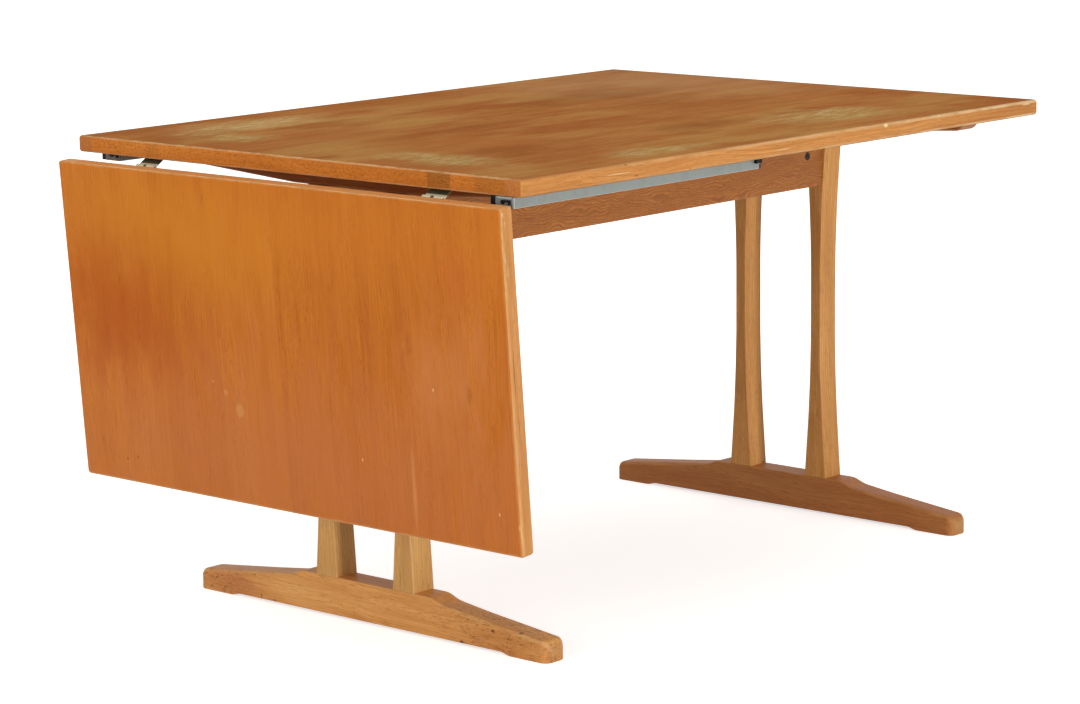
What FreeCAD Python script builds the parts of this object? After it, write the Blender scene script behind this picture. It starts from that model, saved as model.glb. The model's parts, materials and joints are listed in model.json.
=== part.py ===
import FreeCAD, Part
import math
import os

from FreeCAD import Vector

# Trestle dining table with one drop leaf, which hangs at the -X end. Millimetres, +Z up.
# The origin is on the floor, under the middle of the table's outline with the leaf hanging.
# The trestles stand across the table, along Y. The rails, the guides and the slides run along X.
# Left is +Y and right is -Y, as seen from the leaf's end. The front trestle is beside the leaf.

# Boards: the fixed top and the leaf
table_height = 720.0
board_thickness = 25.0
top_length = 1260.0
top_width = 898.0
leaf_length = 490.0
veneer_thickness = 1.0
edge_strip_width = 30.0
outer_corner_radius = 6.0
joint_corner_radius = 3.0
board_arris = 2.5

# How the leaf hangs on its hinges
hinge_outset = 6.3
hinge_drop = 12.0
raised_gap = 1.5
leaf_lean = 4.4

# Trestles: foot, two waisted legs and the bearer that carries the top
front_overhang = 140.5
rear_overhang = 60.5
trestle_thickness = 44.0
trestle_arris = 2.0

foot_length = 721.0
foot_height = 63.0
foot_plateau = 266.0
foot_step_run = 21.0
foot_step_drop = 8.0
foot_end_height = 31.6
foot_end_radius = 14.0
foot_corner_radius = 6.0
foot_step_radius_top = 40.0
foot_step_radius_bottom = 60.0
foot_arch_height = 4.0
foot_pad_length = 73.0
foot_arch_run = 14.0
foot_arch_radius = 30.0

leg_spacing = 159.5
leg_end_width = 43.6
leg_waist_width = 19.4
leg_waist_length = 60.0
leg_flare_reach = 100.0
leg_arris = 0.8

bearer_height = 38.0
bearer_end_height = 22.0
bearer_level_length = 260.0
bearer_blend_radius = 200.0
bearer_end_radius = 18.0
bearer_end_gap = 26.0

# Mortise and tenon joints
tenon_width = 16.0
tenon_thickness = 25.0
foot_tenon_length = 35.0
bearer_tenon_length = 26.0
mortise_spare_depth = 2.0

# Long rails and their bolts
rail_thickness = 22.0
rail_height = 94.0
rail_inset = 9.0
rail_arris = 1.5
rail_tenon_length = 10.0
rail_tenon_thickness = 12.0
rail_tenon_shoulder = 12.0
rail_bolt_rise = 6.0
bolt_diameter = 8.0
bolt_head_diameter = 17.0
bolt_head_height = 2.5
bolt_end_length = 3.0
barrel_nut_diameter = 14.0
barrel_nut_offset = 40.0
barrel_nut_recess = 1.0
bolt_hole_clearance = 0.25

# Flap hinges
hinge_side_distance = 157.0
hinge_width = 38.0
hinge_outer_knuckle = 16.0
hinge_plate_thickness = 1.8
hinge_plate_length = 34.0
hinge_plate_inset = 11.0
hinge_leaf_plate_start = 12.0
hinge_knuckle_radius = 4.2
hinge_pin_radius = 2.0
hinge_pin_clearance = 0.05
hinge_knuckle_gap = 0.4

# Guides under the top and the slides that carry the raised leaf
guide_side_distance = 15.0
guide_length = 547.0
guide_width = 32.0
guide_height = 16.0
guide_wall = 2.0
guide_ledge_width = 3.0
guide_ledge_thickness = 2.0
guide_front_cap_thickness = 3.0
guide_rear_cap_thickness = 3.0
guide_right_setback = -1.0
guide_left_setback = 40.0
slide_thickness = 3.0
slide_length = 440.0
slide_travel = 400.0
slide_lift_clearance = 0.3
slide_side_clearance = 0.5
stop_pin_radius = 2.5
stop_pin_drop = 5.0
stop_gap = 0.5

# Blocks, clips and hooks of the guides
block_length = 30.0
block_width = 12.0
clip_length = 13.0
clip_width = 6.0
clip_height = 7.0
holder_arris = 1.0
hook_thickness = 3.0
hook_eye_radius = 3.0
hook_reach = 14.0
hook_arm_height = 3.0
hook_drop = 6.5
hook_tip_width = 3.5
hook_corner_radius = 1.5
hook_eye_side = 1.5

# Levels and places that follow from the sizes above
underside = table_height - board_thickness
bearer_bottom = underside - bearer_height
rail_bottom = bearer_bottom - rail_height
leaf_face_lift = hinge_drop + board_thickness
leaf_edge_back = hinge_outset - raised_gap
lean = math.radians(leaf_lean)
leaf_reach = (
    hinge_outset
    + leaf_face_lift * math.cos(lean)
    + (leaf_edge_back - board_arris) * math.sin(lean)
)
top_centre_x = leaf_reach / 2
top_end_x = top_centre_x - top_length / 2
hinge_x = top_end_x - hinge_outset
hinge_z = underside - hinge_drop
leaf_inner_x = hinge_x + leaf_edge_back
hinge_sides = {"left": top_width / 2 - hinge_side_distance, "right": hinge_side_distance - top_width / 2}
guide_side = top_width / 2 - guide_side_distance - guide_width / 2
guide_sides = {"left": guide_side, "right": -guide_side}
guide_fronts = {"left": top_end_x + guide_left_setback, "right": top_end_x + guide_right_setback}
guide_bottom = underside - guide_height
slide_top = underside - slide_lift_clearance
slide_bottom = slide_top - slide_thickness
ledge_top = slide_bottom - slide_lift_clearance
trestle_places = {
    "front": top_end_x + front_overhang + trestle_thickness / 2,
    "rear": top_end_x + top_length - rear_overhang - trestle_thickness / 2,
}
leg_sides = {"left": leg_spacing / 2, "right": -leg_spacing / 2}
rail_side = (leg_spacing + leg_end_width) / 2 - rail_inset - rail_thickness / 2
rail_sides = {"left": rail_side, "right": -rail_side}
bolt_height = rail_bottom + rail_height / 2 + rail_bolt_rise
rail_start_x = trestle_places["front"] + trestle_thickness / 2
rail_end_x = trestle_places["rear"] - trestle_thickness / 2

x_axis = Vector(1, 0, 0)
y_axis = Vector(0, 1, 0)
z_axis = Vector(0, 0, 1)


# Shared shapes

def box_between(x0, x1, y0, y1, z0, z1):
    """Box from its low and high faces on each axis."""
    return Part.makeBox(x1 - x0, y1 - y0, z1 - z0, Vector(x0, y0, z0))


def rounded_outline(corners):
    """Closed wire in the YZ plane through (y, z, radius) corners, each rounded by its radius."""
    points = [Vector(0, y, z) for y, z, _ in corners]
    edges = []
    starts = []
    ends = []
    for index, (_, _, radius) in enumerate(corners):
        corner = points[index]
        back = (points[index - 1] - corner).normalize()
        ahead = (points[(index + 1) % len(points)] - corner).normalize()
        half_angle = back.getAngle(ahead) / 2
        starts.append(corner + back * (radius / math.tan(half_angle)))
        ends.append(corner + ahead * (radius / math.tan(half_angle)))
        if radius > 0:
            inward = (back + ahead).normalize()
            middle = corner + inward * (radius / math.sin(half_angle) - radius)
            edges.append(Part.Arc(starts[-1], middle, ends[-1]).toShape())
    for index, end in enumerate(ends):
        edges.append(Part.makeLine(end, starts[(index + 1) % len(starts)]))
    return Part.Wire(Part.__sortEdges__(edges))


def mirrored_corners(half):
    """Corners of one half, from its low point at +Y to its high point, and their mirror image."""
    return half + [(-y, z, radius) for y, z, radius in reversed(half)]


def tangent_arc(start, direction, end):
    """Arc that leaves start along direction and stops at end."""
    chord = end - start
    across = (chord - direction * chord.dot(direction)).normalize()
    radius = chord.dot(chord) / (2 * chord.dot(across))
    centre = start + across * radius
    middle = centre + ((start + end) * 0.5 - centre).normalize() * radius
    return Part.Arc(start, middle, end).toShape()


def slab(wire, x_middle, thickness):
    """Solid of a YZ outline, thick along X about x_middle."""
    solid = Part.Face(wire).extrude(x_axis * thickness)
    solid.translate(x_axis * (x_middle - thickness / 2))
    return solid


def edges_where(shape, test):
    """Edges whose bounding box passes the test."""
    return [edge for edge in shape.Edges if test(edge.BoundBox)]


def across_x(box):
    """True for an edge that stays in one YZ plane."""
    return box.XLength < 0.001


def group(solids):
    """Separate solids kept together as one node."""
    return Part.makeCompound(solids)


# Boards

def board_blank(joint_x, outer_x):
    """Board flush with the table's top, with round corners in plan and eased edges."""
    half = top_width / 2
    x0, x1 = sorted((joint_x, outer_x))
    blank = box_between(x0, x1, -half, half, underside, table_height)
    for end_x, radius in ((joint_x, joint_corner_radius), (outer_x, outer_corner_radius)):
        corners = edges_where(blank, lambda box: box.ZLength > 1 and abs(box.Center.x - end_x) < 0.001)
        blank = blank.makeFillet(radius, corners)
    outline = edges_where(blank, lambda box: box.ZLength < 0.001)
    return blank.makeChamfer(board_arris, outline)


def split_board(board, name):
    """Core, solid edge strips and face veneers of a board."""
    box = board.BoundBox
    seam = top_width / 2 - edge_strip_width
    low = underside + veneer_thickness
    high = table_height - veneer_thickness
    spans = {
        name + "_core": (-seam, seam, low, high),
        name + "_edge_left": (seam, box.YMax, low, high),
        name + "_edge_right": (box.YMin, -seam, low, high),
        name + "_face_veneer": (box.YMin, box.YMax, high, box.ZMax),
        name + "_under_veneer": (box.YMin, box.YMax, box.ZMin, low),
    }
    return {
        node: board.common(box_between(box.XMin, box.XMax, *span)) for node, span in spans.items()
    }


def hang(shape):
    """Leaf piece turned about the hinge axis, from its raised place to where it hangs."""
    turned = shape.copy()
    turned.rotate(Vector(hinge_x, 0, hinge_z), y_axis, -(90 + leaf_lean))
    return turned


# Trestles

def foot_solid(x):
    """Sledge foot: raised middle, ogee step, tapered round ends and an arched underside."""
    end = foot_length / 2
    pad = end - foot_pad_length
    step = foot_plateau / 2
    half = [
        (pad - foot_arch_run, foot_arch_height, foot_arch_radius),
        (pad, 0, foot_arch_radius),
        (end, 0, 0),
        (end, foot_end_height, foot_end_radius),
        (step + foot_step_run, foot_height - foot_step_drop, foot_step_radius_bottom),
        (step, foot_height, foot_step_radius_top),
    ]
    foot = slab(rounded_outline(mirrored_corners(half)), x, trestle_thickness)
    upper = edges_where(foot, lambda box: across_x(box) and box.ZMax > foot_arch_height + 0.001)
    foot = foot.makeChamfer(trestle_arris, upper)
    half_thickness = trestle_thickness / 2
    plan = box_between(x - half_thickness, x + half_thickness, -end, end, 0, foot_height)
    plan = plan.makeFillet(foot_corner_radius, edges_where(plan, lambda box: box.ZLength > 0.001))
    return foot.common(plan)


def bearer_solid(x):
    """Cross bearer: level top, underside that rises towards rounded ends."""
    end = guide_side - guide_width / 2 - bearer_end_gap
    half = [
        (end, underside, 0),
        (end, underside - bearer_end_height, bearer_end_radius),
        (bearer_level_length / 2, bearer_bottom, bearer_blend_radius),
    ]
    bearer = slab(rounded_outline(mirrored_corners(half)), x, trestle_thickness)
    lower = edges_where(bearer, lambda box: across_x(box) and box.ZMin < underside - 0.001)
    return bearer.makeChamfer(trestle_arris, lower)


def leg_side_edges(sign):
    """One long side of a leg: straight waist, wide arcs, and straight tapers out to both ends."""
    middle_z = (foot_height + bearer_bottom) / 2
    waist_low = Vector(0, sign * leg_waist_width / 2, middle_z - leg_waist_length / 2)
    waist_high = waist_low + z_axis * leg_waist_length
    edges = [Part.makeLine(waist_low, waist_high)]
    for waist, end_z, onward in ((waist_low, foot_height, -z_axis), (waist_high, bearer_bottom, z_axis)):
        end = Vector(0, sign * leg_end_width / 2, end_z)
        corner = waist + onward * leg_flare_reach
        arc_end = corner + (end - corner).normalize() * leg_flare_reach
        edges.append(tangent_arc(waist, onward, arc_end))
        edges.append(Part.makeLine(arc_end, end))
    return edges


def leg_solid(x, y):
    """Waisted leg between the foot and the bearer, with a tenon at each end."""
    level = [
        Part.makeLine(Vector(0, -leg_end_width / 2, z), Vector(0, leg_end_width / 2, z))
        for z in (foot_height, bearer_bottom)
    ]
    edges = leg_side_edges(1) + leg_side_edges(-1) + level
    leg = slab(Part.Wire(Part.__sortEdges__(edges)), x, trestle_thickness)
    long_edges = edges_where(leg, lambda box: across_x(box) and box.ZLength > 0.001)
    leg = leg.makeChamfer(leg_arris, long_edges)
    leg.translate(y_axis * y)
    low_tenon = tenon(x, y, foot_height - foot_tenon_length, foot_height)
    high_tenon = tenon(x, y, bearer_bottom, bearer_bottom + bearer_tenon_length)
    return leg.fuse([low_tenon, high_tenon])


def tenon(x, y, z0, z1):
    """Upright tenon of a leg, also the cut of its mortise."""
    half_x = tenon_thickness / 2
    half_y = tenon_width / 2
    return box_between(x - half_x, x + half_x, y - half_y, y + half_y, z0, z1)


def trestle(name, x):
    """Foot, legs and bearer of the trestle at x, with their mortises cut."""
    foot = foot_solid(x)
    bearer = bearer_solid(x)
    pieces = {}
    for side, y in leg_sides.items():
        pieces[name + "_leg_" + side] = leg_solid(x, y)
        low = foot_height - foot_tenon_length - mortise_spare_depth
        high = bearer_bottom + bearer_tenon_length + mortise_spare_depth
        foot = foot.cut(tenon(x, y, low, foot_height))
        bearer = bearer.cut(tenon(x, y, bearer_bottom, high))
    pieces[name + "_foot"] = foot
    pieces[name + "_bearer"] = bearer
    return pieces


# Rails and the bolts at their ends

def rail_solid(y):
    """Long rail with a stub tenon at each end."""
    half = rail_thickness / 2
    rail = box_between(rail_start_x, rail_end_x, y - half, y + half, rail_bottom, bearer_bottom)
    long_edges = edges_where(rail, lambda box: box.XLength > 1)
    rail = rail.makeChamfer(rail_arris, long_edges)
    start_x = rail_start_x - rail_tenon_length
    end_x = rail_end_x + rail_tenon_length
    return rail.fuse(rail_tenon(start_x, end_x, y)).removeSplitter()


def rail_tenon(x0, x1, y):
    """Flat bar from x0 to x1 with the section of a rail's tenon."""
    half = rail_tenon_thickness / 2
    low = rail_bottom + rail_tenon_shoulder
    high = bearer_bottom - rail_tenon_shoulder
    return box_between(x0, x1, y - half, y + half, low, high)


def rail_joint(leg_face_x, inward, y):
    """Bolt, barrel nut and bores of the rail end that meets the leg at leg_face_x."""
    direction = x_axis * inward
    seat = Vector(leg_face_x, y, bolt_height) - direction * trestle_thickness
    nut = Vector(leg_face_x, y, bolt_height) + direction * barrel_nut_offset
    shank_length = (nut - seat).Length + bolt_end_length
    head = Part.makeCylinder(bolt_head_diameter / 2, bolt_head_height, seat, -direction)
    shank = Part.makeCylinder(bolt_diameter / 2, shank_length, seat, direction)
    hole = Part.makeCylinder(bolt_diameter / 2 + bolt_hole_clearance, shank_length, seat, direction)
    nut_length = rail_thickness - 2 * barrel_nut_recess
    nut_start = nut - y_axis * (nut_length / 2)
    barrel = Part.makeCylinder(barrel_nut_diameter / 2, nut_length, nut_start, y_axis)
    bore_start = nut - y_axis * (rail_thickness / 2)
    nut_bore = Part.makeCylinder(barrel_nut_diameter / 2, rail_thickness, bore_start, y_axis)
    return {
        "bolt": head.fuse(shank),
        "nut": barrel.cut(shank),
        "leg_bore": hole,
        "rail_bore": hole.fuse(nut_bore),
    }


def fit_rails(pieces):
    """Add the rails and their bolts, and cut the legs to take them."""
    hardware = {"bolt": [], "nut": []}
    ends = (("front", rail_start_x, 1), ("rear", rail_end_x, -1))
    for side, y in rail_sides.items():
        rail = rail_solid(y)
        for trestle_name, face_x, inward in ends:
            joint = rail_joint(face_x, inward, y)
            mortise_end = face_x - inward * (rail_tenon_length + mortise_spare_depth)
            mortise = rail_tenon(min(face_x, mortise_end), max(face_x, mortise_end), y)
            leg = trestle_name + "_leg_" + side
            pieces[leg] = pieces[leg].cut([mortise, joint["leg_bore"]])
            rail = rail.cut(joint["rail_bore"])
            for kind, solids in hardware.items():
                solids.append(joint[kind])
        pieces["rail_" + side] = rail
    pieces["rail_bolts"] = group(hardware["bolt"])
    pieces["rail_barrel_nuts"] = group(hardware["nut"])


# Flap hinges, with the leaf's half in its raised place

def knuckle(y0, y1, radius):
    """Cylinder on the hinge axis from y0 to y1."""
    return Part.makeCylinder(radius, y1 - y0, Vector(hinge_x, y0, hinge_z), y_axis)


def cranked_plate(bend_x, direction, y):
    """Flat plate under a board, cranked down to the hinge axis, as wide as the hinge."""
    axis = Vector(hinge_x, 0, hinge_z)
    low = underside - hinge_plate_thickness
    run = (axis - Vector(bend_x, 0, underside - hinge_plate_thickness / 2)).normalize()
    offset = y_axis.cross(run) * (direction * hinge_plate_thickness / 2)

    def crank_point(side, z):
        start = axis + offset * side
        return start + run * ((z - start.z) / run.z)

    far_x = bend_x + direction * hinge_plate_length
    points = [
        Vector(far_x, 0, underside),
        crank_point(1, underside),
        axis + offset,
        axis - offset,
        crank_point(-1, low),
        Vector(far_x, 0, low),
    ]
    plate = Part.Face(Part.makePolygon(points + points[:1])).extrude(y_axis * hinge_width)
    plate.translate(y_axis * (y - hinge_width / 2))
    return plate


def hinge(y):
    """Pieces of one hinge: top plate with two knuckles, leaf plate with one, and the pin."""
    low = y - hinge_width / 2
    high = y + hinge_width / 2
    inner_room = (low + hinge_outer_knuckle, high - hinge_outer_knuckle)
    outer_spans = ((low, inner_room[0]), (inner_room[1], high))
    inner_span = (inner_room[0] + hinge_knuckle_gap, inner_room[1] - hinge_knuckle_gap)
    outer_rooms = ((low, inner_span[0]), (inner_span[1], high))
    free_radius = hinge_knuckle_radius + hinge_knuckle_gap
    pin = knuckle(low, high, hinge_pin_radius)

    top_plate = cranked_plate(top_end_x + hinge_plate_inset, 1, y)
    top_plate = top_plate.cut(knuckle(*inner_room, free_radius))
    top_plate = top_plate.fuse([knuckle(*span, hinge_knuckle_radius) for span in outer_spans])

    leaf_plate = cranked_plate(hinge_x - hinge_leaf_plate_start, -1, y)
    leaf_plate = leaf_plate.cut([knuckle(*room, free_radius) for room in outer_rooms])
    leaf_plate = leaf_plate.fuse(knuckle(*inner_span, hinge_knuckle_radius))
    return {
        "top_plate": top_plate.cut(pin),
        "leaf_plate": leaf_plate.cut(knuckle(low, high, hinge_pin_radius + hinge_pin_clearance)),
        "pin": pin,
    }


# Guides and slides

def channel_solid(x0, x1, y):
    """Extruded channel, open at the top, with a ledge on each wall for the slide to run on."""
    outer = guide_width / 2
    inner = outer - guide_wall
    tip = inner - guide_ledge_width
    floor_top = guide_bottom + guide_wall
    ledge_low = ledge_top - guide_ledge_thickness
    half = [
        (outer, guide_bottom),
        (outer, underside),
        (inner, underside),
        (inner, ledge_top),
        (tip, ledge_top),
        (tip, ledge_low),
        (inner, ledge_low),
        (inner, floor_top),
    ]
    outline = half + [(-across, z) for across, z in reversed(half)]
    points = [Vector(x0, y + across, z) for across, z in outline]
    wire = Part.makePolygon(points + points[:1])
    return Part.Face(wire).extrude(x_axis * (x1 - x0))


def guide_cap(x0, x1, y, slotted):
    """Cap that closes a channel's end, with a slot at its top edge where the slide passes."""
    outer = guide_width / 2
    cap = box_between(x0, x1, y - outer, y + outer, guide_bottom, underside)
    if slotted:
        inner = outer - guide_wall
        cap = cap.cut(box_between(x0, x1, y - inner, y + inner, ledge_top, underside))
    return cap


def catch_hook(face_x, y):
    """Flat hook on a front cap: round eye, arm and a tip that turns down."""
    eye_y = y + hook_eye_side
    top = ledge_top - stop_gap
    end = eye_y - hook_reach
    arm_low = top - hook_arm_height
    outline = [
        (eye_y, top, 0),
        (end, top, hook_corner_radius),
        (end, top - hook_drop, 0),
        (end + hook_tip_width, top - hook_drop, 0),
        (end + hook_tip_width, arm_low, 0),
        (eye_y, arm_low, 0),
    ]
    arm = slab(rounded_outline(outline), face_x - hook_thickness / 2, hook_thickness)
    eye_centre = Vector(face_x, eye_y, top - hook_eye_radius)
    eye = Part.makeCylinder(hook_eye_radius, hook_thickness, eye_centre, -x_axis)
    return arm.fuse(eye).removeSplitter()


def holder(x0, length, y0, width, height):
    """Plastic block under the top, its upright edges eased."""
    block = box_between(x0, x0 + length, y0, y0 + width, underside - height, underside)
    return block.makeChamfer(holder_arris, edges_where(block, lambda box: box.ZLength > 1))


def guide(side):
    """Pieces of one guide, fixed under the top, and of the slide that runs in it."""
    y = guide_sides[side]
    front = guide_fronts[side]
    rear = front + guide_length
    channel_start = front + guide_front_cap_thickness
    channel_end = rear - guide_rear_cap_thickness
    block_wall = y + guide_width / 2
    clip_wall = y - guide_width / 2
    clip_x = channel_end - clip_length
    prefix = "guide_" + side
    pieces = {
        prefix + "_channel": channel_solid(channel_start, channel_end, y),
        prefix + "_front_cap": guide_cap(front, channel_start, y, True),
        prefix + "_rear_cap": guide_cap(channel_end, rear, y, False),
        prefix + "_block": holder(channel_start, block_length, block_wall, block_width, guide_height),
        prefix + "_clip": holder(clip_x, clip_length, clip_wall - clip_width, clip_width, clip_height),
        prefix + "_hook": catch_hook(front, y),
    }
    pieces.update(slide(side, front, y))
    return pieces


def slide(side, front, y):
    """Flat slide, flush with the guide's front, and the pin that stops it at full travel."""
    half = guide_width / 2 - guide_wall - slide_side_clearance
    bar = box_between(front, front + slide_length, y - half, y + half, slide_bottom, slide_top)
    pin_x = front + guide_front_cap_thickness + slide_travel + stop_pin_radius + stop_gap
    pin = Part.makeCylinder(stop_pin_radius, stop_pin_drop, Vector(pin_x, y, slide_bottom), -z_axis)
    prefix = "slide_" + side
    return {prefix + "_bar": bar, prefix + "_stop_pin": pin}


# The whole table

def build_table():
    """Every piece by node name, placed with the leaf hanging and the slides pushed in."""
    pieces = split_board(board_blank(top_end_x, top_end_x + top_length), "top")
    leaf = split_board(board_blank(leaf_inner_x, leaf_inner_x - leaf_length), "leaf")
    pieces.update({node: hang(shape) for node, shape in leaf.items()})
    for name, x in trestle_places.items():
        pieces.update(trestle(name, x))
    fit_rails(pieces)
    for side, y in hinge_sides.items():
        parts = hinge(y)
        parts["leaf_plate"] = hang(parts["leaf_plate"])
        pieces.update({"hinge_" + side + "_" + name: part for name, part in parts.items()})
    for side in guide_sides:
        pieces.update(guide(side))
    return pieces


os.makedirs("parts", exist_ok=True)
for node, shape in build_table().items():
    shape.exportStep("parts/" + node + ".step")
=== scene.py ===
"""Trestle dining table with one hanging drop leaf: the looks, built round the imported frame.

Metres, +X along the table away from the leaf's end, +Y to the left, +Z up, origin on the floor.
"""

import json
import logging
import math
from collections.abc import Callable, Iterable, Sequence
from dataclasses import dataclass
from enum import Enum
from functools import partial
from typing import ClassVar

import bmesh
import bpy
from bmesh.types import BMEdge, BMesh, BMFace
from bpy.types import Material, Object
from mathutils import Matrix, Vector
from mathutils.bvhtree import BVHTree


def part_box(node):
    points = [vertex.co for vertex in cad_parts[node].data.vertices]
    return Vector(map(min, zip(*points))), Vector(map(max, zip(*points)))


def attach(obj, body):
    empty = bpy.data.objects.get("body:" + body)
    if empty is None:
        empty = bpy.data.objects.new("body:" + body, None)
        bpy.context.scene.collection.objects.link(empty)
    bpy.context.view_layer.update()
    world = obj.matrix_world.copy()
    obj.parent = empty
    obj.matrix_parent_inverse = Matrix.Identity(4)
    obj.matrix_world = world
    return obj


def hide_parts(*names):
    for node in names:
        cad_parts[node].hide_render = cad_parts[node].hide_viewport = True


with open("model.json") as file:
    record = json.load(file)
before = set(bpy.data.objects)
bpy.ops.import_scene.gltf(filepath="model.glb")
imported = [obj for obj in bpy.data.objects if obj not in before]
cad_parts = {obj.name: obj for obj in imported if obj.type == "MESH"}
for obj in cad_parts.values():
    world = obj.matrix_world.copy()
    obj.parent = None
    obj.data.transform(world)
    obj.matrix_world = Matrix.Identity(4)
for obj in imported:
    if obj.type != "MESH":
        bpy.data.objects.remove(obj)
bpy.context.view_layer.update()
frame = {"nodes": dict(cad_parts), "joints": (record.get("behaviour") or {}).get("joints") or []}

LEAF_HINGE = next(joint for joint in frame["joints"] if joint["name"] == "leaf_hinge")
HINGE_AXIS = Vector(LEAF_HINGE["pos_m"])
LEAF_TURN = math.radians(LEAF_HINGE["range_deg"][1])
HANG = Matrix.Translation(HINGE_AXIS) @ Matrix.Rotation(-LEAF_TURN, 4, "Y") @ Matrix.Translation(-HINGE_AXIS)
SIDES = {"left": 1, "right": -1}
ALONG = Vector((1.0, 0.0, 0.0))
ACROSS = Vector((0.0, 1.0, 0.0))
UP = Vector((0.0, 0.0, 1.0))
# Distance in metres under which two places count as one, and width of the rim round a recess
SAME_PLACE = 1e-5
RECESS_RIM = 0.0003
# Width in metres and steps of the rounding of the edges, by material slot
ROUNDINGS = {
    "frame_wood": (0.0006, 2),
    "bearer_wood": (0.0012, 2),
    "rail_wood": (0.0008, 2),
    "dark_steel": (0.0003, 2),
    "pale_brass": (0.0002, 1),
    "guide_metal": (0.0009, 2),
    "black_plastic": (0.0004, 2),
    "slide_steel": (0.0003, 2),
}

log = logging.getLogger("table")


def colour(code: str) -> tuple[float, float, float, float]:
    """Turn a colour written as six hexadecimal digits into linear light with an alpha of one."""
    parts = [int(code[i : i + 2], 16) / 255 for i in (0, 2, 4)]
    linear = [p / 12.92 if p <= 0.04045 else ((p + 0.055) / 1.055) ** 2.4 for p in parts]
    return (*linear, 1.0)


class Grain(Enum):
    """Way the grain of a wooden piece runs, and the turn that lays it along X."""

    LENGTHWISE = (0.0, 0.0, 0.0)
    ACROSS = (0.0, 0.0, -math.pi / 2)
    UPRIGHT = (0.0, math.pi / 2, 0.0)


# Shader nodes


@dataclass(frozen=True)
class Value:
    """Output socket of a node, which takes part in Python expressions."""

    graph: "Graph"
    socket: bpy.types.NodeSocket

    def __add__(self, other: "Operand") -> "Value":
        """Sum of two values."""
        return self.graph.maths("ADD", self, other)

    def __sub__(self, other: "Operand") -> "Value":
        """Difference of two values."""
        return self.graph.maths("SUBTRACT", self, other)

    def __rsub__(self, other: "Operand") -> "Value":
        """Difference of a number and this value."""
        return self.graph.maths("SUBTRACT", other, self)

    def __mul__(self, other: "Operand") -> "Value":
        """Product of two values."""
        return self.graph.maths("MULTIPLY", self, other)

    def __truediv__(self, other: "Operand") -> "Value":
        """Quotient of two values."""
        return self.graph.maths("DIVIDE", self, other)

    __radd__ = __add__
    __rmul__ = __mul__

    def apply(self, operation: str) -> "Value":
        """Result of a Math operation on this value alone."""
        return self.graph.maths(operation, self)

    def ramp(self, low: float, high: float) -> "Value":
        """Smooth step of this value: 0 at low and 1 at high, which may be the smaller number."""
        settings = {"interpolation_type": "SMOOTHSTEP"}
        inputs = {"Value": self, "From Min": low, "From Max": high}
        if low > high:
            inputs = {"Value": self, "From Min": high, "From Max": low, "To Min": 1.0, "To Max": 0.0}
        return self.graph.node("MapRange", settings, inputs)


Operand = Value | float
Pair = tuple[float, float]
Triple = tuple[float, float, float]
Outline = Callable[[float], float]


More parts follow.
